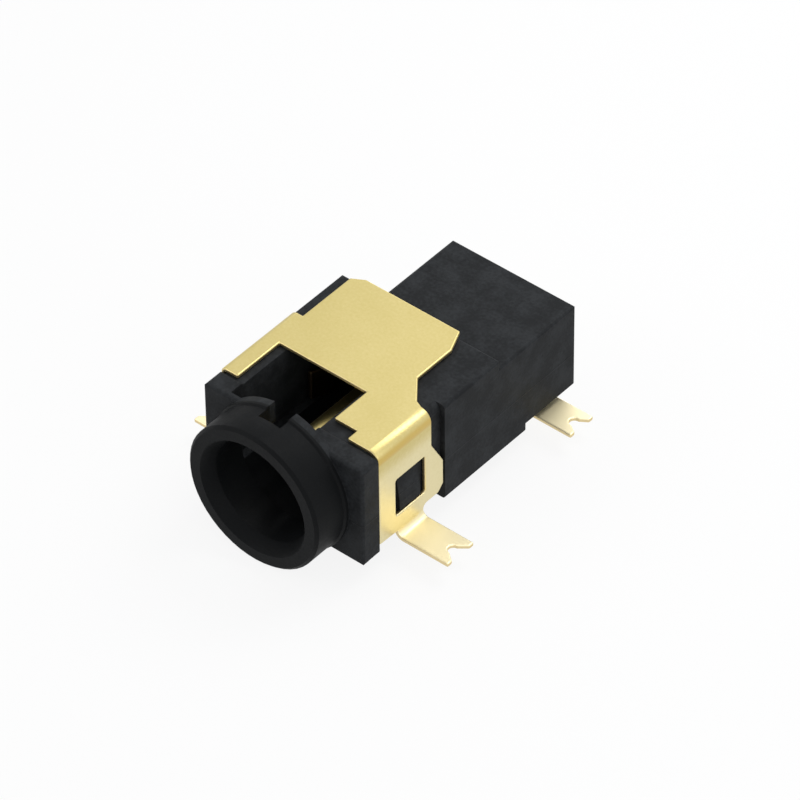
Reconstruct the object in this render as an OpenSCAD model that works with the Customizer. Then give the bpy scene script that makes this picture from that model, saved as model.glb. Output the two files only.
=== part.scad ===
// DC barrel jack for surface mounting, with a folded metal shell.
// The frame's origin is on the socket's axis, in the flange's front face.
// +X is right as seen from behind the mouth, +Y runs into the jack, +Z is up.

/* [Plug] */
// Outside diameter of the plug sleeve that the socket takes
plug_d = 3.5; // [3:0.05:3.6]
// Free play round the plug sleeve, per side
plug_gap = 0.05; // [0.03:0.01:0.08]
// Diameter of the centre pin
pin_d = 1.3; // [0.8:0.05:1.6]
// Extra radius of the pin's root inside the housing
pin_root = 0.2; // [0.17:0.01:0.22]

/* [Socket] */
// Depth of the socket from its mouth to its back wall
socket_depth = 7.46; // [7:0.02:7.6]
// How far the pin's tip stands behind the mouth
pin_recess = 1.7; // [1.65:0.05:2.2]
// Widening of the mouth, per side
flare = 0.25; // [0.1:0.01:0.35]
// Length of the widened mouth
flare_len = 0.45; // [0.2:0.05:0.7]
// Extra room at each side of the channel behind the guiding land
channel_side = 0.2; // [0.17:0.01:0.25]
// Height of the channel's roof above the axis, right of the cavity
channel_roof = 1.6; // [1.58:0.01:1.65]

/* [Nose] */
// Outside diameter of the round nose
nose_d = 5.05; // [4.8:0.05:5.4]
// How far the nose stands out in front of the flange
nose_len = 1.41; // [1.2:0.01:1.45]
// Length of the raised collar, each way from the flange face
collar_len = 0.2; // [0.1:0.05:0.3]
// Height of the collar above the nose
collar_h = 0.06; // [0.03:0.01:0.1]
// Width of the slot in the top of the nose
slot_w = 0.84; // [0.5:0.02:1.2]
// How far the slot reaches forward of the flange face
slot_len = 0.55; // [0.3:0.05:0.8]

/* [Housing] */
// Height of the socket's axis above the board
axis_h = 2; // [2:0.05:2.4]
// Width of the flange and the body
body_w = 6.18; // [6.18:0.02:6.6]
// Thickness of the flange
flange_t = 0.75; // [0.6:0.05:0.9]
// Height of the flange above the axis
flange_top = 1.9; // [1.86:0.02:2.2]
// Radius of the flange's upper corners
flange_r = 0.22; // [0.15:0.01:0.5]
// Length of the body from the flange face to its rear
body_len = 6.4; // [6.3:0.05:6.8]
// Height of the bevel under the flange's sides
flange_bevel = 0.45; // [0.3:0.05:0.5]
// Flat in front of that bevel
flange_toe = 0.15; // [0.1:0.01:0.2]
// Gap between the flange and the board
flange_lift = 0.05; // [0.02:0.01:0.1]
// Gap between the body and the board
body_lift = 0.06; // [0.04:0.01:0.1]
// Rounding of the moulded edges
edge_r = 0.12; // [0.05:0.01:0.15]

/* [Rear block] */
// Width of the rear block, measured from the body's right side
block_w = 4.82; // [4.6:0.02:4.9]
// Length of the rear block behind the body
block_len = 3.6; // [3.3:0.05:4]
// Height of the rear block above the axis
block_top = 1.53; // [1.3:0.01:1.75]
// Height of the terminal recess under the rear block
recess_h = 0.35; // [0.3:0.01:0.5]
// Length of the terminal recess
recess_len = 2.4; // [2.2:0.05:2.6]

/* [Top cavity] */
// Left edge of the cavity, from the axis
cavity_left = 2.15; // [2.1:0.05:2.3]
// Right edge of the cavity, from the axis
cavity_right = 0.85; // [0.5:0.05:0.95]
// Depth of the cavity below the axis
cavity_floor = 0.75; // [0.7:0.05:0.9]

/* [Shell] */
// Thickness of the shell's sheet
sheet = 0.15; // [0.1:0.01:0.18]
// Width over the shell's side walls
shell_w = 6.14; // [5.9:0.02:6.14]
// Outside radius of the shell's tight bend on the left
bend_left_r = 0.22; // [0.22:0.01:0.3]
// Outside radius of the shell's bend on the right
bend_r = 0.4; // [0.3:0.02:0.5]
// Distance from the flange to the shell
shell_gap = 0.04; // [0.02:0.01:0.1]
// Gap between the shell and the housing under it
seat_gap = 0.02; // [0.01:0.01:0.04]
// Length of the top plate
plate_len = 5.71; // [5.5:0.01:5.8]
// Left edge of the top plate behind the fold, from the axis
plate_left = 2.65; // [2.5:0.01:2.7]
// Right edge of the top plate behind the fold, from the axis
plate_right = 1.78; // [1.6:0.02:2]
// Length of the cut at the plate's left rear corner
corner_left_len = 0.25; // [0.15:0.05:0.4]
// Width of the cut at the plate's left rear corner
corner_left_w = 0.43; // [0.2:0.01:0.5]
// Length of the cut at the plate's right rear corner
corner_right_len = 0.8; // [0.5:0.05:1]
// Width of the cut at the plate's right rear corner
corner_right_w = 0.33; // [0.2:0.01:0.4]
// Length of the slant from the right fold to the plate's narrow part
slant_len = 0.8; // [0.6:0.05:1]
// Length of the fold on the left
fold_left = 3.26; // [3:0.02:3.4]
// Length of the fold on the right
fold_right = 2.43; // [2.2:0.01:2.5]
// Height above the axis where the side walls begin to widen
widen_top = 0.65; // [0.5:0.01:0.7]
// Distance below the axis where the side walls are at full length
widen_low = 0.3; // [0.2:0.01:0.4]
// Length of the side walls at their foot
wall_len = 2.96; // [2.8:0.02:3]
// Height of the side walls' lower edge above the board
wall_lift = 0.35; // [0.3:0.01:0.4]

/* [Notch] */
// Length of the notch in the top plate
notch_len = 1.91; // [1.6:0.01:2]
// Left edge of the notch, from the axis
notch_left = 2.4; // [2.35:0.05:2.45]
// Right edge of the notch, from the axis
notch_right = 1; // [1:0.05:1.2]
// Right edge of the notch's wide front, from the axis
notch_front = 1.87; // [1.6:0.01:2]
// Length of the notch's wide front
notch_step = 0.43; // [0.2:0.01:0.6]

/* [Latch] */
// Length of the window in each side wall
window_len = 1.35; // [1.1:0.05:1.4]
// Height of the window in each side wall
window_h = 1.45; // [1.2:0.05:1.6]
// Lower edge of the window, below the axis
window_low = 1.02; // [0.9:0.02:1.1]
// Distance from the flange to the window
window_y = 0.8; // [0.65:0.05:0.85]
// Radius of the window's corners
window_r = 0.08; // [0.04:0.01:0.1]
// Free play below the latch in its window
latch_gap = 0.07; // [0.03:0.01:0.12]
// Free play at each side of the latch in its window
latch_side = 0.2; // [0.1:0.01:0.25]
// Height of the latch's upright catch
latch_catch = 0.3; // [0.2:0.01:0.4]

/* [Front feet] */
// Distance from the flange to the front feet
foot_y = 0.85; // [0.65:0.05:0.95]
// Width of the front feet
foot_w = 1.22; // [1:0.02:1.3]
// Radius of the hollow between a side wall and its foot
neck_r = 0.16; // [0.1:0.01:0.2]
// Reach of the front feet from the axis
foot_reach = 5; // [4.6:0.05:5.6]
// Depth of the fork in the front feet
fork_depth = 0.46; // [0.3:0.02:0.6]
// Width of each tip of a fork
fork_tip = 0.2; // [0.1:0.01:0.25]
// Radius of the root of a fork
fork_r = 0.17; // [0.05:0.01:0.18]

/* [Terminals] */
// Width of the pin's terminal plate
plate_w = 2.5; // [2.3:0.05:2.6]
// Diameter of the pin's head behind the housing
pin_head_d = 2.1; // [1.9:0.05:2.2]
// Length of the pin's head
pin_head_len = 0.5; // [0.4:0.05:0.6]
// Diameter of the rivet through the terminal
rivet_d = 0.84; // [0.7:0.02:0.9]
// Thickness of the two terminals
strip = 0.15; // [0.1:0.01:0.2]
// Reach of the rear feet from the axis
rear_reach = 4.3; // [4:0.05:5]
// Width of the rear feet
rear_foot_w = 1.1; // [0.9:0.05:1.3]
// Distance from the flange face to the rear feet
rear_foot_y = 8.27; // [8.15:0.02:8.4]
// Height of the contact blade
blade_h = 1.1; // [0.8:0.05:1.2]
// How far the contact's crown stands inside the plug's path
crown_dip = 0.2; // [0.1:0.02:0.3]
// Gap between the contact blade and the plug where they don't touch
blade_gap = 0.12; // [0.1:0.01:0.16]
// Distance from the flange face to the contact's crown
crown_y = 4.3; // [4.1:0.05:4.5]
// Distance from the flange face to the contact's free tip
blade_tip_y = 3.45; // [3.3:0.05:3.6]

/* [Hidden] */
$fn = 48;
e = 0.5;
chamfer = 0.1;
bevel_w = 0.9;
bore_cover = 0.03;
latch_back = 0.03;
fold_corner = 0.25;
fold_step = 0.11;
pin_round = 0.6;
press_gap = 0.01;
rivet_rise = 0.08;
terminal_sink = 0.05;
leaf_end = 0.3;
leaf_lead = 1.25;
leaf_steps = 24;

plug_r = plug_d / 2;
bore_r = plug_r + plug_gap;
body_top = bore_r + bore_cover;
pin_r = pin_d / 2;
mouth_y = -nose_len;
back_y = mouth_y + socket_depth;
block_y = body_len + block_len;
board_z = -axis_h;
half_w = body_w / 2;
shell_x = shell_w / 2;
shell_z = body_top + seat_gap + sheet;
shell_y = flange_t + shell_gap;
bend_x = shell_x - bend_r;
bend_z = shell_z - bend_r;
wall_z = board_z + wall_lift;
block_left = half_w - block_w;
recess_z = board_z + body_lift + recess_h;
recess_y = block_y - recess_len;
window_y0 = flange_t + window_y;
foot_y0 = flange_t + foot_y;
blade_x = -(plug_r + blade_gap);
leaf_y = back_y - leaf_end;
plate_y = block_y - strip - terminal_sink;
head_y = plate_y - pin_head_len;
root_r = pin_r + pin_root;

// ---- shapes that several pieces share ----

// A box from lo to hi with all its edges rounded by r.
module soft_box(lo, hi, r) {
    size = hi - lo;
    translate(lo)
        intersection() {
            linear_extrude(size.z) rounded([size.x, size.y], r);
            translate([0, size.y, 0])
                rotate([90, 0, 0])
                    linear_extrude(size.y) rounded([size.x, size.z], r);
            rotate([90, 0, 90])
                linear_extrude(size.x) rounded([size.y, size.z], r);
        }
}

// A rectangle from the origin with round corners.
module rounded(size, r) {
    translate([r, 0]) square([size.x - 2 * r, size.y]);
    translate([0, r]) square([size.x, size.y - 2 * r]);
    for (x = [r, size.x - r])
        for (y = [r, size.y - r])
            translate([x, y]) circle(r);
}

// Stands a drawing of the X-Z plane up and runs it from y0 to y1.
module along_y(y0, y1) {
    translate([0, y1, 0])
        rotate([90, 0, 0])
            linear_extrude(y1 - y0) children();
}

// Stands a drawing of the Y-Z plane up and runs it from x0 to x1.
module along_x(x0, x1) {
    translate([x0, 0, 0])
        rotate([90, 0, 90])
            linear_extrude(x1 - x0) children();
}

// A round bar on the socket's axis.
module bar(d, y0, y1) {
    translate([0, y1, 0])
        rotate([90, 0, 0])
            cylinder(d = d, h = y1 - y0);
}

// An upright outline with two round upper corners, the left one of radius l.
module arch(x, low, top, l, r) {
    translate([-x, low]) square([2 * x, top - low - r]);
    translate([l - x, low]) square([2 * x - l - r, top - low]);
    translate([-x, low]) square([2 * x - r, top - low - l]);
    translate([l - x, top - l]) circle(l);
    translate([x - r, top - r]) circle(r);
}

// The cross-section that the folded shell has at a given depth in its sheet.
module fold(inset) {
    arch(shell_x - inset, board_z - e, shell_z - inset, bend_left_r - inset, bend_r - inset);
}

// A forked solder foot, seen from above, that reaches out along +X.
module foot_plan(x0, x1, w) {
    root_x = x1 - fork_depth + fork_r;
    // The fork's sides run from its tips to the round root, which they touch
    tip_x = x1 - root_x;
    tip_y = w / 2 - fork_tip;
    lean = atan2(tip_y, tip_x) + asin(fork_r / norm([tip_x, tip_y]));
    touch = fork_r * [-sin(lean), cos(lean)];
    difference() {
        translate([x0, 0]) square([x1 - x0, w]);
        translate([root_x, w / 2]) {
            circle(fork_r);
            polygon([
                touch,
                [tip_x, tip_y],
                [tip_x + e, tip_y],
                [tip_x + e, -tip_y],
                [tip_x, -tip_y],
                [touch.x, -touch.y]
            ]);
        }
    }
}

// A quarter bend from an upright strip at x to a foot on the board.
module foot_bend(x, t, r, w) {
    translate([x + t + r, 0, board_z + t + r])
        along_y(0, w)
            intersection() {
                difference() {
                    circle(r + t);
                    circle(r);
                }
                translate([-r - t, -r - t]) square(r + t);
            }
}

// ---- housing ----

module flange() {
    low = board_z + flange_lift;
    difference() {
        intersection() {
            soft_box([-half_w, 0, low], [half_w, flange_t, flange_top], edge_r);
            along_y(-e, flange_t + e) arch(half_w, low - e, flange_top, flange_r, flange_r);
        }
        for (s = [0, 1])
            mirror([s, 0, 0])
                along_x(half_w - bevel_w, half_w + e)
                    polygon([
                        [flange_toe, low - e],
                        [flange_toe, low],
                        [flange_t, low + flange_bevel],
                        [flange_t + e, low + flange_bevel],
                        [flange_t + e, low - e]
                    ]);
    }
}

module nose() {
    translate([0, mouth_y, 0])
        rotate([-90, 0, 0])
            rotate_extrude()
                polygon([
                    [0, 0],
                    [nose_d / 2 - chamfer, 0],
                    [nose_d / 2, chamfer],
                    [nose_d / 2, nose_len - collar_len],
                    [nose_d / 2 + collar_h, nose_len - collar_len + collar_h],
                    [nose_d / 2 + collar_h, nose_len + collar_len],
                    [0, nose_len + collar_len]
                ]);
}

// Hook that snaps into the shell's window.
module latch() {
    root = shell_x - sheet - seat_gap;
    tip = shell_x - latch_back;
    z = latch_gap - window_low;
    top = window_h - window_low - latch_gap;
    along_y(window_y0 + latch_side, window_y0 + window_len - latch_side)
        polygon([
            [root - chamfer, z],
            [tip, z],
            [tip, z + latch_catch],
            [root, top],
            [root - chamfer, top]
        ]);
}

// Room for the shell, as deep as its sheet, round the front of the body.
module shell_seat() {
    depth = sheet + seat_gap;
    for (s = [-1, 1])
        intersection() {
            along_y(flange_t, shell_y + (s < 0 ? fold_left : wall_len) + shell_gap)
                difference() {
                    square([2 * half_w + e, 2 * (axis_h + e)], center = true);
                    fold(depth);
                }
            translate([s * half_w, 0, 0]) cube([2 * half_w, 4 * body_len, 4 * axis_h], center = true);
        }
}

// Raised underside above the shell's feet, level with the flange's bevel.
module foot_relief() {
    for (s = [0, 1])
        mirror([s, 0, 0])
            translate([half_w - bevel_w, flange_t, board_z - e])
                cube([
                    bevel_w + e,
                    shell_y + wall_len + shell_gap - flange_t,
                    e + flange_lift + flange_bevel
                ]);
}

module socket_bore() {
    // Flared mouth and guiding land
    translate([0, mouth_y, 0])
        rotate([-90, 0, 0])
            cylinder(r1 = bore_r + flare, r2 = bore_r, h = flare_len);
    bar(2 * bore_r, mouth_y - e, collar_len);
    // Channel behind the land: round at its sides, flat below and above
    intersection() {
        bar(2 * (bore_r + channel_side), collar_len, back_y);
        translate([-half_w, collar_len - e, -bore_r])
            cube([body_w, socket_depth + e, bore_r + channel_roof]);
    }
    // The pin's root and head
    bar(2 * (root_r + press_gap), back_y - e, block_y + e);
    bar(pin_head_d + 2 * press_gap, head_y, block_y + e);
}

module housing() {
    low = board_z + body_lift;
    color([0.12, 0.12, 0.13])
        difference() {
            union() {
                flange();
                nose();
                difference() {
                    soft_box([-half_w, flange_t / 3, low], [half_w, body_len, body_top], edge_r);
                    shell_seat();
                    foot_relief();
                }
                soft_box([block_left, body_len - 2 * edge_r - e, low], [half_w, block_y, block_top], edge_r);
                latch();
                mirror([1, 0, 0]) latch();
            }
            socket_bore();
            top_cavity();
            terminal_rooms();
        }
}

// The open top of the socket, and the slot in the nose.
module top_cavity() {
    translate([-cavity_left, collar_len, -cavity_floor])
        cube([cavity_left + cavity_right, back_y - collar_len, axis_h + 2 * e]);
    translate([-slot_w / 2, -slot_len, 0])
        cube([slot_w, slot_len + collar_len + e, nose_d]);
}

// Where the two terminals pass through or lie against the housing.
module terminal_rooms() {
    // Slot for the blade through the body's rear wall
    translate([blade_x - strip - seat_gap, back_y - e, -blade_h / 2 - seat_gap])
        cube([strip + 2 * seat_gap, body_len, blade_h + 2 * seat_gap]);
    // Room for the contact's leg beside the rear block
    translate([blade_x - strip - seat_gap, rear_foot_y - seat_gap, board_z])
        cube([strip + 2 * seat_gap, rear_foot_w + 2 * seat_gap, axis_h]);
    // Recess under the rear block
    translate([block_left - e, recess_y, board_z - e])
        cube([block_w + 2 * e, recess_len + e, recess_z - board_z + e]);
    // Seat for the pin's terminal in the rear face
    translate([-plate_w / 2, plate_y, board_z])
        cube([plate_w, 2 * strip, axis_h + plate_w / 2]);
}

// ---- shell ----

// The top plate as seen from above, with the folds still at full width.
module plate_plan() {
    rear = shell_y + plate_len;
    right = shell_y + fold_right;
    difference() {
        polygon([
            [-shell_x, shell_y],
            [-shell_x, shell_y + fold_left],
            [-plate_left, shell_y + fold_left],
            [-plate_left, rear - corner_left_len],
            [corner_left_w - plate_left, rear],
            [plate_right - corner_right_w, rear],
            [plate_right, rear - corner_right_len],
            [plate_right, right + fold_step + slant_len],
            [bend_x - fold_corner, right + fold_step],
            [bend_x, right],
            [shell_x, right],
            [shell_x, shell_y]
        ]);
        translate([-notch_left, shell_y - e]) square([notch_left + notch_right, notch_len + e]);
        translate([-notch_left, shell_y - e]) square([notch_left + notch_front, notch_step + e]);
    }
}

// A side wall as seen from the side; top is the length at the fold.
module wall_outline(top) {
    rear = shell_y + wall_len;
    foot_end = foot_y0 + foot_w;
    difference() {
        polygon([
            [shell_y, wall_z],
            [shell_y, bend_z],
            [shell_y + top, bend_z],
            [shell_y + top, widen_top],
            [rear, -widen_low],
            [rear, wall_z + neck_r + fold_corner],
            [rear - fold_corner, wall_z + neck_r],
            [rear - fold_corner, wall_z]
        ]);
        translate([window_y0, -window_low]) rounded([window_len, window_h], window_r);
        // The wall's lower edge runs into the foot in a hollow curve
        translate([foot_end, wall_z - 2 * neck_r]) rounded([wall_len, 3 * neck_r], neck_r);
    }
}

module shell_foot() {
    radius = wall_lift - sheet;
    translate([0, foot_y0, 0]) {
        foot_bend(shell_x - sheet, sheet, radius, foot_w);
        translate([0, 0, board_z])
            linear_extrude(sheet) foot_plan(shell_x + radius, foot_reach, foot_w);
    }
}

module shell() {
    color([0.86, 0.78, 0.5]) {
        intersection() {
            along_y(shell_y, shell_y + plate_len)
                difference() {
                    fold(0);
                    fold(sheet);
                }
            union() {
                translate([0, 0, bend_z]) linear_extrude(bend_r + e) plate_plan();
                along_x(bend_x, shell_x + e) wall_outline(fold_right);
                mirror([1, 0, 0]) along_x(bend_x, shell_x + e) wall_outline(fold_left);
            }
        }
        shell_foot();
        mirror([1, 0, 0]) shell_foot();
    }
}

// ---- contacts ----

module centre_pin() {
    color([0.83, 0.72, 0.42])
        rotate([-90, 0, 0])
            rotate_extrude()
                pin_profile(mouth_y + pin_recess);
}

// Half of the pin's outline from its tip: round nose, shank, root, head and riveted end.
module pin_profile(tip) {
    nose = pin_r * pin_round;
    translate([0, tip]) square([pin_r - nose, nose]);
    intersection() {
        translate([pin_r - nose, tip + nose]) circle(nose);
        translate([0, tip]) square([pin_r, nose]);
    }
    translate([0, tip + nose]) square([pin_r, back_y - tip - nose]);
    translate([0, back_y]) square([root_r, head_y - back_y]);
    translate([0, head_y]) square([pin_head_d / 2, pin_head_len]);
    translate([0, plate_y]) square([rivet_d / 2, strip]);
    translate([0, plate_y + strip]) square([pin_r, rivet_rise]);
}

module pin_terminal() {
    x0 = seat_gap - plate_w / 2;
    x1 = plate_w / 2 - seat_gap;
    z1 = x1;
    r = strip;
    color([0.8, 0.72, 0.5]) {
        // Upright plate, riveted to the pin
        along_y(plate_y, plate_y + strip)
            difference() {
                translate([x0, board_z + strip + r]) square([x1 - x0, z1 - board_z - strip - r]);
                circle(rivet_d / 2 + press_gap);
            }
        // Bend to the board and the foot that runs out on the right
        translate([x0, plate_y - r, board_z + strip + r])
            along_x(0, x1 - x0)
                intersection() {
                    difference() {
                        circle(r + strip);
                        circle(r);
                    }
                    translate([0, -r - strip]) square(r + strip);
                }
        translate([0, 0, board_z])
            linear_extrude(strip) {
                translate([x0, rear_foot_y]) square([x1 - x0, plate_y - r - rear_foot_y]);
                translate([0, rear_foot_y]) foot_plan(x1, rear_reach, rear_foot_w);
            }
    }
}

// Depth of the leaf's bow towards the plug, at a distance y from the flange.
function bow(y) =
    let (run = y < crown_y ? leaf_lead * (crown_y - blade_tip_y) : leaf_y - crown_y)
    (crown_dip + blade_gap) * (1 + cos(180 * (y - crown_y) / run)) / 2;

module sleeve_contact() {
    ys = [for (i = [0 : leaf_steps]) blade_tip_y + (leaf_y - blade_tip_y) * i / leaf_steps];
    r = strip;
    root_y = rear_foot_y + rear_foot_w;
    color([0.8, 0.72, 0.5]) {
        // Leaf with its crown in the plug's path, and the blade behind it
        translate([0, 0, -blade_h / 2])
            linear_extrude(blade_h)
                polygon(concat(
                    [for (y = ys) [blade_x + bow(y), y]],
                    [[blade_x, root_y], [blade_x - strip, root_y]],
                    [for (i = [leaf_steps : -1 : 0]) [blade_x - strip + bow(ys[i]), ys[i]]]
                ));
        // Leg down to the board and the forked foot
        translate([blade_x - strip, rear_foot_y, board_z + strip + r])
            cube([strip, rear_foot_w, axis_h - strip - r - blade_h / 2]);
        mirror([1, 0, 0])
            translate([0, rear_foot_y, 0]) {
                foot_bend(-blade_x, strip, r, rear_foot_w);
                translate([0, 0, board_z])
                    linear_extrude(strip) foot_plan(strip + r - blade_x, rear_reach, rear_foot_w);
            }
    }
}

housing();
shell();
centre_pin();
pin_terminal();
sleeve_contact();
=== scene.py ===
"""Looks of a surface-mount DC barrel jack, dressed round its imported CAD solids.

The jack stands with its socket's axis along Y, its mouth towards -Y and its
board plane square to Z. Lengths in the settings are in metres.
"""

import math

import bpy
import numpy as np
from bpy.props import FloatProperty, FloatVectorProperty, PointerProperty
from mathutils import Matrix, Vector


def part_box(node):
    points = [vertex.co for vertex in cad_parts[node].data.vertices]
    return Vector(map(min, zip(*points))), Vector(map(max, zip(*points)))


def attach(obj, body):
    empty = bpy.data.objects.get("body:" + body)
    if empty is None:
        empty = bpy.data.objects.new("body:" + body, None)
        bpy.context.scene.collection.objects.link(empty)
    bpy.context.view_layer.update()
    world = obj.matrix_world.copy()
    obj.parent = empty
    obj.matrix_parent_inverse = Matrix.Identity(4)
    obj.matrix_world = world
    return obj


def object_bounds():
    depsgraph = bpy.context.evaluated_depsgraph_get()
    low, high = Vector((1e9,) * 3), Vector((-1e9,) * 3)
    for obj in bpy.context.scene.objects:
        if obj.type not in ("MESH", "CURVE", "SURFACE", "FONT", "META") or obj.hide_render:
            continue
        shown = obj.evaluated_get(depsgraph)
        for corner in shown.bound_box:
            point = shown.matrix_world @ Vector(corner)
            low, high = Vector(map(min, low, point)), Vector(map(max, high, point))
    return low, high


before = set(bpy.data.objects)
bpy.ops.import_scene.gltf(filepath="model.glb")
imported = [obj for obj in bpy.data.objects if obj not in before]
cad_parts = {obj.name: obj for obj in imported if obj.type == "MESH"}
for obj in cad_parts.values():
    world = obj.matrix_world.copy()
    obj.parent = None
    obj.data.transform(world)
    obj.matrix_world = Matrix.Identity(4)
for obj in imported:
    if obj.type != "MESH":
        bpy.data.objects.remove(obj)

bl_info = {
    "name": "Barrel jack",
    "version": (1, 0, 0),
    "blender": (4, 5, 0),
    "location": "View3D > Sidebar > Jack",
    "description": "Dresses a surface-mount DC barrel jack and sets its stage",
    "category": "Object",
}

MM = 0.001
CAD_BOX = [list(corner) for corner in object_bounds()]
# Front of the nose, and the shell's lowest and highest faces
NOSE_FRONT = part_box("housing")[0][1]
BOARD_Z, PLATE_Z = (corner[2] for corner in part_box("shell"))
# Thickness of the sheet that the shell and both terminals are cut from
SHEET = 0.15 * MM

# Where the ejector pins met the underside, in mm right of the axis and behind the flange face
MARK_SPOTS = ((-2.3, 5.9), (2.3, 5.9), (2.3, 7.1), (-0.9, 7.1))
# Steps round an ejector mark
MARK_SIDES = 48

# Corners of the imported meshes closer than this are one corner
WELD_GAP = 0.0001 * MM
# Faces that turn less than this are one flat face, and edges that turn more are rounded
FLAT_TURN = math.radians(0.5)
EDGE_TURN = math.radians(28)
EDGE_STEPS = 3

# Soft boxes: name, direction from the jack, distance and width in mm, and watts
LAMPS = (
    ("top_box", (0.12, 0.56, 0.83), 60, 34, 0.015),
    ("side_box", (0.90, -0.20, 0.50), 60, 40, 0.006),
    ("front_box", (-0.48, -0.68, 0.56), 70, 30, 0.0065),
    ("rear_box", (-0.47, 0.85, 0.22), 70, 24, 0.0035),
)
# Point that the soft boxes look at
LAMP_TARGET = Vector((0, 4 * MM, 0))
# Tint of the room, and how its brightness leans along X, Y and Z
ROOM_TINT = (0.97, 0.98, 1.0, 1)
ROOM_LEAN = (-0.4, 0.6, 0.5)

# Width of the camera's sensor, in mm like its lens, and how near and far it sees
SENSOR_WIDTH = 36
NEAR, FAR = 10 * MM, 10


# ---- settings ----


class HousingSettings(bpy.types.PropertyGroup):
    """Colours and sizes of the moulded housing."""

    colour: FloatVectorProperty(
        name="Colour",
        description="Colour of the moulded plastic",
        subtype="COLOR",
        size=3,
        default=(0.0135, 0.0146, 0.0158),
        min=0,
        max=1,
    )
    nose_colour: FloatVectorProperty(
        name="Nose colour",
        description="Colour of the smoother plastic on the round nose and in the bore",
        subtype="COLOR",
        size=3,
        default=(0.0052, 0.0058, 0.0063),
        min=0,
        max=1,
    )
    core_radius: FloatProperty(
        name="Core radius",
        description="Radius of the mould's core, inside which the plastic is smooth",
        unit="LENGTH",
        default=2.03 * MM,
        min=0.1 * MM,
    )
    core_end: FloatProperty(
        name="Core end",
        description="Depth of the mould's core behind the flange face",
        unit="LENGTH",
        default=6.1 * MM,
    )
    roughness: FloatProperty(
        name="Roughness",
        description="Roughness of the eroded plastic between its specks",
        default=0.46,
        min=0,
        max=1,
    )
    specular: FloatProperty(
        name="Specular level",
        description="Strength of the plastic's mirror reflection",
        default=0.07,
        min=0,
        max=1,
    )
    edge: FloatProperty(
        name="Edge radius",
        description="Rounding of the moulding's edges",
        unit="LENGTH",
        default=0.045 * MM,
        min=0,
    )
    mottle: FloatProperty(
        name="Mottle",
        description="How many times brighter the lightest specks are than the plastic",
        default=2.3,
        min=1,
    )
    grain_depth: FloatProperty(
        name="Grain depth",
        description="Depth of the spark-eroded surface",
        unit="LENGTH",
        default=0.008 * MM,
        min=0,
    )
    parting_z: FloatProperty(
        name="Parting line",
        description="Height of the mould's parting line, from the socket's axis",
        unit="LENGTH",
        default=-0.35 * MM,
    )
    parting_w: FloatProperty(
        name="Parting line width",
        description="Width of the parting line",
        unit="LENGTH",
        default=0.05 * MM,
        min=0.01 * MM,
    )
    grain: FloatProperty(
        name="Grain",
        description="Width of one bump of the spark-eroded surface",
        unit="LENGTH",
        default=0.09 * MM,
        min=0.01 * MM,
    )
    mark_radius: FloatProperty(
        name="Ejector mark radius",
        description="Radius of each round mark that an ejector pin leaves",
        unit="LENGTH",
        default=0.4 * MM,
        min=0.1 * MM,
    )
    mark_height: FloatProperty(
        name="Ejector mark height",
        description="How far the rim of an ejector mark stands proud",
        unit="LENGTH",
        default=0.015 * MM,
        min=0,
    )


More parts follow.
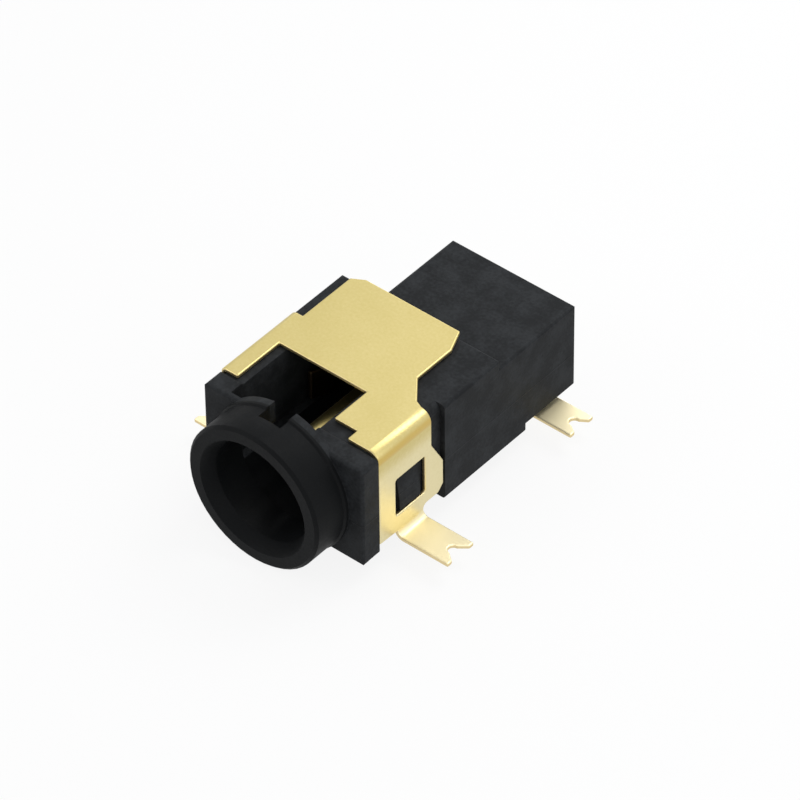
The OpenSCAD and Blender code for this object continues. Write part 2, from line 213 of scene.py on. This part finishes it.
class PlatingSettings(bpy.types.PropertyGroup):
    """Colours and sizes of the plated shell and contacts."""

    gilt: FloatVectorProperty(
        name="Gilt",
        description="Colour of the plating",
        subtype="COLOR",
        size=3,
        default=(0.600, 0.500, 0.200),
        min=0,
        max=1,
    )
    gilt_light: FloatVectorProperty(
        name="Light gilt",
        description="Colour of the plating's lighter flecks",
        subtype="COLOR",
        size=3,
        default=(0.645, 0.545, 0.245),
        min=0,
        max=1,
    )
    satin: FloatProperty(
        name="Satin",
        description="Roughness of the plated sheet",
        default=0.34,
        min=0,
        max=1,
    )
    grit_depth: FloatProperty(
        name="Grit depth",
        description="Depth of the plating's fine grit",
        unit="LENGTH",
        default=0.0025 * MM,
        min=0,
    )
    turned_satin: FloatProperty(
        name="Turned satin",
        description="Roughness of the turned and plated pin",
        default=0.26,
        min=0,
        max=1,
    )
    ring_depth: FloatProperty(
        name="Ring depth",
        description="Depth of the tool's rings on the turned pin",
        unit="LENGTH",
        default=0.0004 * MM,
        min=0,
    )
    # Painted light: the walls' paler gilt stands in for the bright floor that they reflect
    painted_wall_light_top: FloatProperty(
        name="Pale top",
        description="Height where the walls' paler plating ends, from the socket's axis",
        unit="LENGTH",
        default=1.45 * MM,
    )
    # Band foot and band top bound the painted shade band along the outside of the wide bend
    band_low: FloatProperty(
        name="Band foot",
        description="Height where the stretched plating of the bend begins, from the socket's axis",
        unit="LENGTH",
        default=1.48 * MM,
    )
    band_high: FloatProperty(
        name="Band top",
        description="Height where the stretched plating of the bend ends, from the socket's axis",
        unit="LENGTH",
        default=1.86 * MM,
    )
    wall_low: FloatProperty(
        name="Wall foot",
        description="Height where the upright sheet begins, from the socket's axis",
        unit="LENGTH",
        default=-1.66 * MM,
    )
    wall_high: FloatProperty(
        name="Wall top",
        description="Height where the upright sheet ends, from the socket's axis",
        unit="LENGTH",
        default=1.6 * MM,
    )
    # Painted light: paler gilt on the upright walls, for the bright floor that they reflect
    painted_wall_light: FloatVectorProperty(
        name="Pale gilt",
        description="Colour of the plating on the upright walls",
        subtype="COLOR",
        size=3,
        default=(0.76, 0.675, 0.40),
        min=0,
        max=1,
    )
    # Painted light: the solder feet's much paler gilt stands in for strong light from the right
    # front
    painted_foot_light: FloatVectorProperty(
        name="Cream gilt",
        description="Colour of the plating on the solder feet",
        subtype="COLOR",
        size=3,
        default=(0.93, 0.84, 0.57),
        min=0,
        max=1,
    )
    # Painted shade: colour of the darker amber band painted along the outside of the wide bend
    stretched: FloatVectorProperty(
        name="Stretched gilt",
        description="Colour of the plating along the outside of the wide bend",
        subtype="COLOR",
        size=3,
        default=(0.60, 0.43, 0.12),
        min=0,
        max=1,
    )
    bare: FloatVectorProperty(
        name="Cut edge",
        description="Colour of the metal where the sheet was sheared",
        subtype="COLOR",
        size=3,
        default=(0.70, 0.56, 0.30),
        min=0,
        max=1,
    )
    # Painted shade: the bare blade is bronze, but its colour is painted nearly black so that it
    # stays dark inside the socket
    shaded_bronze: FloatVectorProperty(
        name="Bronze",
        description="Colour of the contact spring's bare blade",
        subtype="COLOR",
        size=3,
        default=(0.07, 0.05, 0.028),
        min=0,
        max=1,
    )
    plated_from: FloatProperty(
        name="Plated from",
        description="Depth behind the flange face from which the contact spring is plated",
        unit="LENGTH",
        default=6.2 * MM,
    )
    # Painted shade: the darker band along the wide bend is painted only right of this
    bend_from: FloatProperty(
        name="Bend side",
        description="Distance right of the axis where the wide bend's stretched plating begins",
        unit="LENGTH",
        default=2.4 * MM,
    )
    edge: FloatProperty(
        name="Edge radius",
        description="Rounding of the sheared edges",
        unit="LENGTH",
        default=0.05 * MM,
        min=0,
    )
    pin_edge: FloatProperty(
        name="Pin edge radius",
        description="Rounding of the turned pin's edges",
        unit="LENGTH",
        default=0.02 * MM,
        min=0,
    )


class StageSettings(bpy.types.PropertyGroup):
    """Camera and lights."""

    azimuth: FloatProperty(
        name="Azimuth",
        description="Direction of the camera round Z; 0 looks along +Y",
        subtype="ANGLE",
        default=math.radians(40.4),
    )
    elevation: FloatProperty(
        name="Elevation",
        description="Height of the camera above the horizon",
        subtype="ANGLE",
        default=math.radians(42.7),
    )
    roll: FloatProperty(
        name="Roll",
        description="Turn of the camera about its own line of sight",
        subtype="ANGLE",
        default=math.radians(-0.7),
    )
    distance: FloatProperty(
        name="Distance",
        description="Distance from the camera to the plane through the nose's front",
        unit="LENGTH",
        default=193 * MM,
        min=10 * MM,
    )
    lens: FloatProperty(
        name="Lens",
        description="Focal length of the camera in millimetres",
        default=294.2,
        min=1,
    )
    aim_right: FloatProperty(
        name="Aim right",
        description="How far right of the nose's front the camera aims",
        unit="LENGTH",
        default=4.405 * MM,
    )
    aim_up: FloatProperty(
        name="Aim up",
        description="How far above the nose's front the camera aims",
        unit="LENGTH",
        default=2.879 * MM,
    )
    floor_half: FloatProperty(
        name="Floor size",
        description="Half the width of the floor",
        unit="LENGTH",
        default=400 * MM,
        min=50 * MM,
    )
    floor_shade: FloatProperty(
        name="Floor shade",
        description="Share of the light that the floor throws back",
        default=0.8,
        min=0,
        max=1,
    )
    floor_glow: FloatProperty(
        name="Floor glow",
        description="Share of plain white in the floor that the camera and mirrors see",
        default=0.88,
        min=0,
        max=1,
    )
    room: FloatProperty(
        name="Room",
        description="Mean brightness of the room that the jack reflects",
        default=0.58,
        min=0,
    )
    room_tilt: FloatProperty(
        name="Room tilt",
        description="How much brighter the room is above and behind the jack than in front",
        default=0.34,
        min=0,
    )


# ---- shader expressions ----


class Wire:
    """A node's output that works in Python expressions: each operator adds a Math node."""

    def __init__(self, finish, socket):
        self.finish = finish
        self.socket = socket

    def _maths(self, operation, *values):
        return self.finish.node("ShaderNodeMath", {"operation": operation}, dict(enumerate(values)))

    def __add__(self, other):
        return self._maths("ADD", self, other)

    __radd__ = __add__

    def __sub__(self, other):
        return self._maths("SUBTRACT", self, other)

    def __rsub__(self, other):
        return self._maths("SUBTRACT", other, self)

    def __mul__(self, other):
        return self._maths("MULTIPLY", self, other)

    __rmul__ = __mul__

    def __truediv__(self, other):
        return self._maths("DIVIDE", self, other)

    def __abs__(self):
        return self._maths("ABSOLUTE", self)

    def __or__(self, other):
        return self._maths("MAXIMUM", self, other)

    def __invert__(self):
        return 1 - self

    def sine(self):
        return self._maths("SINE", self)

    def step(self, low, high):
        """Climbs smoothly from 0 at low to 1 at high."""
        inputs = {"Value": self, "From Min": low, "From Max": high}
        return self.finish.node("ShaderNodeMapRange", {"interpolation_type": "SMOOTHSTEP"}, inputs)


class Finish:
    """The node tree of a material or world in the making, with one method that adds any node."""

    def __init__(self, owner):
        owner.use_nodes = True
        self.owner = owner
        self.tree = owner.node_tree
        self.tree.nodes.clear()

    @property
    def place(self):
        """Object coordinates."""
        return self.node("ShaderNodeTexCoord", output="Object")

    @property
    def normal(self):
        """The way the surface faces, in the object's own frame."""
        return self.node("ShaderNodeTexCoord", output="Normal")

    @property
    def backdrop(self):
        """1 where the camera, a mirror or a clear piece looks at the background."""
        rays = ("Is Camera Ray", "Is Glossy Ray", "Is Transmission Ray")
        seen, glossy, through = (self.node("ShaderNodeLightPath", output=ray) for ray in rays)
        return seen | glossy | through

    def node(self, kind, settings=None, inputs=None, output=0):
        """Adds a node, sets it up, feeds its sockets with values or wires and returns an output."""
        made = self.tree.nodes.new(kind)
        for name, value in (settings or {}).items():
            if name == "stops":
                self._set_stops(made.color_ramp.elements, value)
            else:
                setattr(made, name, value)
        for key, value in (inputs or {}).items():
            if isinstance(value, Wire):
                self.tree.links.new(value.socket, made.inputs[key])
            else:
                made.inputs[key].default_value = value
        return Wire(self, made.outputs[output])

    def _set_stops(self, elements, stops):
        while len(elements) < len(stops):
            elements.new(0.5)
        for element, (position, shade) in zip(elements, stops):
            element.position = position
            element.color = (shade, shade, shade, 1)

    def axes(self, vector):
        """The three numbers of a vector."""
        first = self.node("ShaderNodeSeparateXYZ", inputs={"Vector": vector})
        return [Wire(self, output) for output in first.socket.node.outputs]

    def stretched(self, scale):
        """Object coordinates, scaled along each axis."""
        return self.node("ShaderNodeMapping", inputs={"Vector": self.place, "Scale": scale})

    def noise(self, width, detail=3.0, roughness=0.5, vector=None):
        """Noise from 0 to 1 whose blobs are about width across."""
        inputs = {
            "Vector": vector or self.place,
            "Scale": 1 / width,
            "Detail": detail,
            "Roughness": roughness,
        }
        return self.node("ShaderNodeTexNoise", inputs=inputs)

    def ramp(self, value, *stops):
        """A soft step through the stops, each a position and a level."""
        return self.node("ShaderNodeValToRGB", {"stops": stops}, {"Fac": value})

    def tint(self, factor, first, second):
        """A colour between first and second, which are wires or red, green and blue."""
        first, second = (c if isinstance(c, Wire) else (*c, 1) for c in (first, second))
        inputs = {0: factor, 6: first, 7: second}
        return self.node("ShaderNodeMix", {"data_type": "RGBA"}, inputs, output=2)

    def bump(self, height, depth):
        """A normal raised by height from 0 to 1, depth metres at most."""
        inputs = {"Height": height, "Distance": depth, "Strength": 1.0}
        return self.node("ShaderNodeBump", inputs=inputs)

    def close(self, shader, kind="Material"):
        """Joins a shader to the output and returns what it finishes."""
        out = self.tree.nodes.new(f"ShaderNodeOutput{kind}")
        self.tree.links.new(shader.socket, out.inputs["Surface"])
        return self.owner

    def principled(self, sockets):
        """Closes the material with a Principled shader that has these sockets."""
        return self.close(self.node("ShaderNodeBsdfPrincipled", inputs=sockets))


def new_finish(name):
    """An empty material, ready for its nodes."""
    return Finish(bpy.data.materials.new(name))


def moulded_plastic(look):
    """Black moulding: spark-eroded grain, glass specks and a parting line round its middle."""
    f = new_finish("moulded_plastic")
    x, y, z = f.axes(f.place)
    level = abs(f.axes(f.normal)[2])
    clouds = f.noise(0.75 * MM, detail=4)
    specks = f.noise(0.11 * MM, detail=2)
    grain = f.noise(look.grain, detail=3, roughness=0.6)
    light = [c * look.mottle for c in look.colour]
    mottle = f.ramp(clouds * 0.6 + specks * 0.4, (0.42, 0.0), (0.62, 1.0))
    # The nose and the bore come from turned inserts: smoother and darker than the eroded rest
    nose = ~y.step(-0.06 * MM, -0.02 * MM)
    turned = nose | core(look, x, y, z)
    # The mould's halves meet in a level line on the upright faces
    line = ~abs(z - look.parting_z).step(0.2 * look.parting_w, 0.5 * look.parting_w)
    line = line * ~level.step(0.2, 0.4) * ~turned
    height = grain * 0.6 + f.noise(look.grain * 4, detail=2) * 0.25 + line * 0.9
    shade = f.tint(mottle * 0.7, look.colour, light)
    return f.principled(
        {
            "Base Color": f.tint(turned, shade, look.nose_colour),
            "Roughness": look.roughness + 0.16 * specks + 0.08 * clouds - 0.06 * turned,
            "Specular IOR Level": look.specular,
            "Normal": f.bump(height, look.grain_depth),
        }
    )


def core(look, x, y, z):
    """1 inside the mould's core: a rod along Y with a flat above and below."""
    radius = look.core_radius
    flat = 0.93 * radius
    rod = ~((x * x + z * z) / (radius * radius)).step(0.98, 1.0)
    between = ~abs(z).step(flat - 0.025 * radius, flat)
    return rod * between * ~y.step(look.core_end - 0.05 * MM, look.core_end)


def gilt_sheet(look, name, bend_axis, upright_axis, plated_from=None):
    """Plated sheet: satin gilt with fine grit, sheared edges, and painted light that makes the walls
    and feet paler.

    Its bends turn about bend_axis, and its upright stretches look along
    upright_axis. In front of plated_from the strip is bare spring bronze, painted
    nearly black as shade.
    """
    f = new_finish(name)
    x, y, z = f.axes(f.place)
    normal = dict(zip("xyz", (abs(part) for part in f.axes(f.normal))))
    edges = sheared(look, z, normal, bend_axis, upright_axis)
    feet = ~z.step(BOARD_Z + SHEET, BOARD_Z + 3 * SHEET)
    broad = f.noise(1.3 * MM, detail=4)
    flecks = f.noise(0.10 * MM, detail=3, roughness=0.65)
    grit = f.noise(0.045 * MM, detail=2, roughness=0.6)
    rolled = f.noise(0.05 * MM, detail=2, vector=f.stretched((1.0, 0.08, 1.0)))
    lively = f.ramp(broad * 0.3 + flecks * 0.7, (0.38, 0.0), (0.66, 1.0))
    colour = f.tint(edges * (0.55 + 0.45 * flecks), plating(f, look, x, z, feet, lively), look.bare)
    # Painted shade: in front of plated_from the bare bronze blade is painted nearly black
    if plated_from is not None:
        colour = f.tint(~y.step(plated_from - 0.2 * MM, plated_from), colour, look.shaded_bronze)
    return f.principled(
        {
            "Base Color": colour,
            "Metallic": 1.0,
            "Roughness": look.satin + 0.05 * grit + 0.05 * broad + 0.12 * feet + 0.05 * edges,
            "Normal": f.bump(grit * 0.45 + rolled * 0.25 + flecks * 0.3, look.grit_depth),
        }
    )


def sheared(look, z, normal, bend_axis, upright_axis):
    """1 on the faces where the sheet was cut.

    A face that looks along bend_axis is one. On an upright stretch the sheet
    itself looks along upright_axis, and on a level one along Z, so there every
    face that looks elsewhere is one too.
    """
    border = 0.01 * MM
    foot = ~z.step(BOARD_Z + SHEET * 1.02, BOARD_Z + SHEET * 1.1)
    roof = z.step(PLATE_Z - SHEET * 1.06, PLATE_Z - SHEET)
    wall = z.step(look.wall_low, look.wall_low + border)
    wall = wall * ~z.step(look.wall_high - border, look.wall_high)
    # A face looks along an axis where its normal's share of it climbs through this range
    facing = (0.35, 0.6)
    level = (foot | roof) * ~normal["z"].step(*facing)
    upright = wall * ~normal[upright_axis].step(*facing)
    return normal[bend_axis].step(0.6, 0.85) | level | upright


def plating(f, look, x, z, feet, lively):
    """Colour of the plating: gilt on top, painted light that makes the walls and feet paler, and a
    painted shade band along the wide bend.
    """
    # Painted light: the upright walls turn paler below a set height, as if lit by the bright floor
    # they reflect
    painted_wall_light = ~z.step(look.painted_wall_light_top - 0.7 * MM, look.painted_wall_light_top)
    satin = f.tint(lively, look.gilt, look.gilt_light)
    plated = f.tint(painted_wall_light * (0.85 + 0.3 * lively), satin, look.painted_wall_light)
    # Painted light: the solder feet are far paler and brighter, as if lit strongly from the right
    # front
    plated = f.tint(feet, plated, look.painted_foot_light)
    # Painted shade: a darker amber band along the outside of the wide bend, on the right
    right = x.step(look.bend_from, look.bend_from + 0.4 * MM)
    bend_shade_band = right * z.step(look.band_low, look.band_low + 0.12 * MM)
    bend_shade_band = bend_shade_band * ~z.step(look.band_high - 0.15 * MM, look.band_high)
    return f.tint(bend_shade_band * 0.85, plated, look.stretched)


def turned_gilt(look):
    """Turned and plated pin with fine tool rings round the Y axis."""
    f = new_finish("turned_gilt")
    _, y, _ = f.axes(f.place)
    # The rings are 2 pi times this apart, and wander a little
    radian = 0.012 * MM
    wander = f.noise(0.5 * MM, detail=1)
    rings = (y / radian + wander * 2.0).sine() * 0.5 + 0.5
    patches = f.noise(0.8 * MM)
    return f.principled(
        {
            "Base Color": f.tint(patches, look.gilt, look.gilt_light),
            "Metallic": 1.0,
            "Roughness": look.turned_satin + 0.08 * patches,
            "Normal": f.bump(rings, look.ring_depth),
        }
    )


# ---- shapes ----


def surface(name, points, closed=False, first_pole=None, last_pole=None):
    """Mesh of a grid of points P(u, v), shaped (rows, columns, 3).

    Quad (i, j) joins P(i, j), P(i, j+1), P(i+1, j+1) and P(i+1, j). A closed
    surface joins its last column to its first, and a pole closes the row at its end.
    """
    rows, columns = points.shape[:2]
    index = np.arange(rows * columns).reshape(rows, columns)
    across = np.roll(index, -1, axis=1) if closed else index[:, 1:]
    here = index if closed else index[:, :-1]
    faces = np.stack([here[:-1], across[:-1], across[1:], here[1:]], axis=-1).reshape(-1, 4).tolist()
    corners = points.reshape(-1, 3)
    for row, pole, order in ((0, first_pole, (1, 0, 2)), (-1, last_pole, (0, 1, 2))):
        if pole is not None:
            tip = np.full(here.shape[1], len(corners))
            fan = np.stack([here[row], across[row], tip], axis=-1)
            faces += fan[:, order].tolist()
            corners = np.vstack([corners, pole])
    mesh = bpy.data.meshes.new(name)
    mesh.from_pydata(corners, [], faces)
    mesh.polygons.foreach_set("use_smooth", np.ones(len(faces), dtype=bool))
    mesh.update()
    piece = bpy.data.objects.new(name, mesh)
    bpy.context.scene.collection.objects.link(piece)
    return piece


def ring_mark(name, centre, radius, height):
    """Rim that an ejector pin leaves on a face that looks down.

    P(a, v) = centre + r(v) (cos a, -sin a, 0) - h(v) z, where the profile
    (r, h) starts inside the face, climbs to the rim and sinks to a flat middle.
    """
    angle = np.linspace(0, 2 * math.pi, MARK_SIDES, endpoint=False)
    reach = np.array([1.06, 1.03, 1.0, 0.97, 0.93, 0.88, 0.45, 0.15]) * radius
    rise = np.array([-0.4, 0.7, 1.0, 0.95, 0.5, 0.12, 0.08, 0.08]) * height
    a, r = np.meshgrid(angle, reach)
    _, h = np.meshgrid(angle, rise)
    points = np.stack([r * np.cos(a), -r * np.sin(a), -h], axis=-1) + np.array(centre)
    root, middle = points[0].mean(axis=0), points[-1].mean(axis=0)
    return surface(name, points, closed=True, first_pole=root, last_pole=middle)


# ---- making ----


def soften(node, radius, clamp=True):
    """Rounds a CAD node's edges with live modifiers; its own mesh stays as packed.

    The clamp holds every edge to the shortest one, so sheet with fine arcs goes without it.
    """
    weld = node.modifiers.new("Weld", "WELD")
    weld.merge_threshold = WELD_GAP
    planes = node.modifiers.new("Planes", "DECIMATE")
    planes.decimate_type = "DISSOLVE"
    planes.angle_limit = FLAT_TURN
    bevel = node.modifiers.new("Edges", "BEVEL")
    bevel.width = radius
    bevel.segments = EDGE_STEPS
    bevel.limit_method = "ANGLE"
    bevel.angle_limit = EDGE_TURN
    bevel.harden_normals = True
    bevel.use_clamp_overlap = clamp


def dress(node, material):
    """Gives a node or piece one material in every slot."""
    if not node.material_slots:
        node.data.materials.append(material)
    for slot in node.material_slots:
        slot.material = material


class JACK_OT_housing(bpy.types.Operator):
    """Round the housing's edges and give it its moulded finish"""

    bl_idname = "jack.housing"
    bl_label = "Housing"

    def execute(self, context):
        look = context.scene.jack_housing
        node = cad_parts["housing"]
        soften(node, look.edge)
        dress(node, moulded_plastic(look))
        return {"FINISHED"}


class JACK_OT_marks(bpy.types.Operator):
    """Add the ejector marks on the housing's underside"""

    bl_idname = "jack.marks"
    bl_label = "Ejector marks"

    def execute(self, context):
        look = context.scene.jack_housing
        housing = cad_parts["housing"]
        up = Vector((0, 0, 1))
        for number, (x, y) in enumerate(MARK_SPOTS):
            # The mark stands on the first face that a line from below meets
            below = Vector((x * MM, y * MM, CAD_BOX[0][2] - MM))
            met, centre, _, _ = housing.ray_cast(below, up)
            if not met:
                raise RuntimeError(f"no face of the housing above ejector mark {number}")
            piece = ring_mark(f"ejector_mark_{number}", centre, look.mark_radius, look.mark_height)
            dress(piece, housing.material_slots[0].material)
            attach(piece, "root")
        return {"FINISHED"}


class JACK_OT_shell(bpy.types.Operator):
    """Round the shell's sheared edges and give it its plating"""

    bl_idname = "jack.shell"
    bl_label = "Shell"

    def execute(self, context):
        look = context.scene.jack_plating
        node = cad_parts["shell"]
        soften(node, look.edge, clamp=False)
        dress(node, gilt_sheet(look, "gilt_shell", "y", "x"))
        return {"FINISHED"}


class JACK_OT_contacts(bpy.types.Operator):
    """Finish the centre pin, its terminal and the sleeve contact"""

    bl_idname = "jack.contacts"
    bl_label = "Contacts"

    def execute(self, context):
        look = context.scene.jack_plating
        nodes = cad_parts
        soften(nodes["centre_pin"], look.pin_edge)
        dress(nodes["centre_pin"], turned_gilt(look))
        soften(nodes["pin_terminal"], look.edge, clamp=False)
        dress(nodes["pin_terminal"], gilt_sheet(look, "gilt_pin_terminal", "x", "y"))
        soften(nodes["sleeve_contact"], look.edge, clamp=False)
        # The blade's nearly black bronze is painted shade
        gilt_with_shaded_blade = gilt_sheet(look, "gilt_sleeve_contact", "y", "x", look.plated_from)
        dress(nodes["sleeve_contact"], gilt_with_shaded_blade)
        return {"FINISHED"}


def lamp(name, towards, distance, width, power):
    """A square soft box that looks back at the jack from a direction."""
    data = bpy.data.lights.new(name, "AREA")
    data.shape = "SQUARE"
    data.size = width
    data.energy = power
    light = bpy.data.objects.new(name, data)
    direction = Vector(towards).normalized()
    light.location = LAMP_TARGET + direction * distance
    light.rotation_euler = direction.to_track_quat("Z", "Y").to_euler()
    bpy.context.scene.collection.objects.link(light)


class JACK_OT_stage(bpy.types.Operator):
    """Set the floor, the lights and the camera"""

    bl_idname = "jack.stage"
    bl_label = "Stage"

    def execute(self, context):
        stage = context.scene.jack_stage
        self.floor(stage)
        self.sky(context, stage)
        for name, towards, distance, width, power in LAMPS:
            lamp(name, towards, distance * MM, width * MM, power)
        self.camera(context, stage)
        context.scene.view_settings.view_transform = "Standard"
        return {"FINISHED"}

    def floor(self, stage):
        """A matt floor that is nearly white to the camera, and keeps a soft shadow."""
        side = np.linspace(-stage.floor_half, stage.floor_half, 5)
        u, v = np.meshgrid(side, side)
        points = np.stack([u, v, np.full_like(u, CAD_BOX[0][2])], axis=-1)
        piece = surface("floor", points)
        f = new_finish("floor_white")
        shade = (stage.floor_shade,) * 3
        matt = f.node("ShaderNodeBsdfDiffuse", inputs={"Color": (*shade, 1)})
        glow = f.node("ShaderNodeEmission", inputs={"Color": (1, 1, 1, 1), "Strength": 1.0})
        factor = f.backdrop * stage.floor_glow
        dress(piece, f.close(f.node("ShaderNodeMixShader", inputs={0: factor, 1: matt, 2: glow})))

    def sky(self, context, stage):
        """A white background, and a room that grows brighter towards the upper left rear."""
        world = bpy.data.worlds.new("studio")
        context.scene.world = world
        f = Finish(world)
        towards = f.axes(f.node("ShaderNodeTexCoord", output="Generated"))
        lean = sum(share * part for share, part in zip(ROOM_LEAN, towards))
        level = stage.room + stage.room_tilt * lean
        room = f.node("ShaderNodeBackground", inputs={"Color": ROOM_TINT, "Strength": level})
        white = f.node("ShaderNodeBackground", inputs={"Color": (1, 1, 1, 1), "Strength": 1.0})
        f.close(f.node("ShaderNodeMixShader", inputs={0: f.backdrop, 1: room, 2: white}), "World")

    def camera(self, context, stage):
        """A long lens that aims beside the nose's front, from where the settings say."""
        a, e = stage.azimuth, stage.elevation
        back = Vector((math.sin(a) * math.cos(e), -math.cos(a) * math.cos(e), math.sin(e)))
        right = Vector((math.cos(a), math.sin(a), 0))
        up = back.cross(right)
        data = bpy.data.cameras.new("camera")
        data.lens = stage.lens
        data.sensor_width = SENSOR_WIDTH
        data.clip_start = NEAR
        data.clip_end = FAR
        camera = bpy.data.objects.new("camera", data)
        nose_front = Vector((0, NOSE_FRONT, 0))
        spot = nose_front + right * stage.aim_right + up * stage.aim_up + back * stage.distance
        turn = Matrix((right, up, back)).transposed() @ Matrix.Rotation(stage.roll, 3, "Z")
        camera.matrix_world = Matrix.Translation(spot) @ turn.to_4x4()
        context.scene.collection.objects.link(camera)
        context.scene.camera = camera


class JACK_PT_panel(bpy.types.Panel):
    """Settings and steps of the jack"""

    bl_idname = "JACK_PT_panel"
    bl_label = "Barrel jack"
    bl_space_type = "VIEW_3D"
    bl_region_type = "UI"
    bl_category = "Jack"

    def draw(self, context):
        scene = context.scene
        for group in (scene.jack_housing, scene.jack_plating, scene.jack_stage):
            box = self.layout.box()
            for name in group.__annotations__:
                box.prop(group, name)
        for step in STEPS:
            self.layout.operator(step.bl_idname)


STEPS = (JACK_OT_housing, JACK_OT_marks, JACK_OT_shell, JACK_OT_contacts, JACK_OT_stage)
GROUPS = {
    "jack_housing": HousingSettings,
    "jack_plating": PlatingSettings,
    "jack_stage": StageSettings,
}


def register():
    for kind in (*GROUPS.values(), *STEPS, JACK_PT_panel):
        bpy.utils.register_class(kind)
    for name, kind in GROUPS.items():
        setattr(bpy.types.Scene, name, PointerProperty(type=kind))


def unregister():
    for name in GROUPS:
        delattr(bpy.types.Scene, name)
    for kind in (JACK_PT_panel, *reversed(STEPS), *GROUPS.values()):
        bpy.utils.unregister_class(kind)


def main():
    register()
    bpy.ops.jack.housing()
    bpy.ops.jack.marks()
    bpy.ops.jack.shell()
    bpy.ops.jack.contacts()
    bpy.ops.jack.stage()


if __name__ == "__main__":
    main()
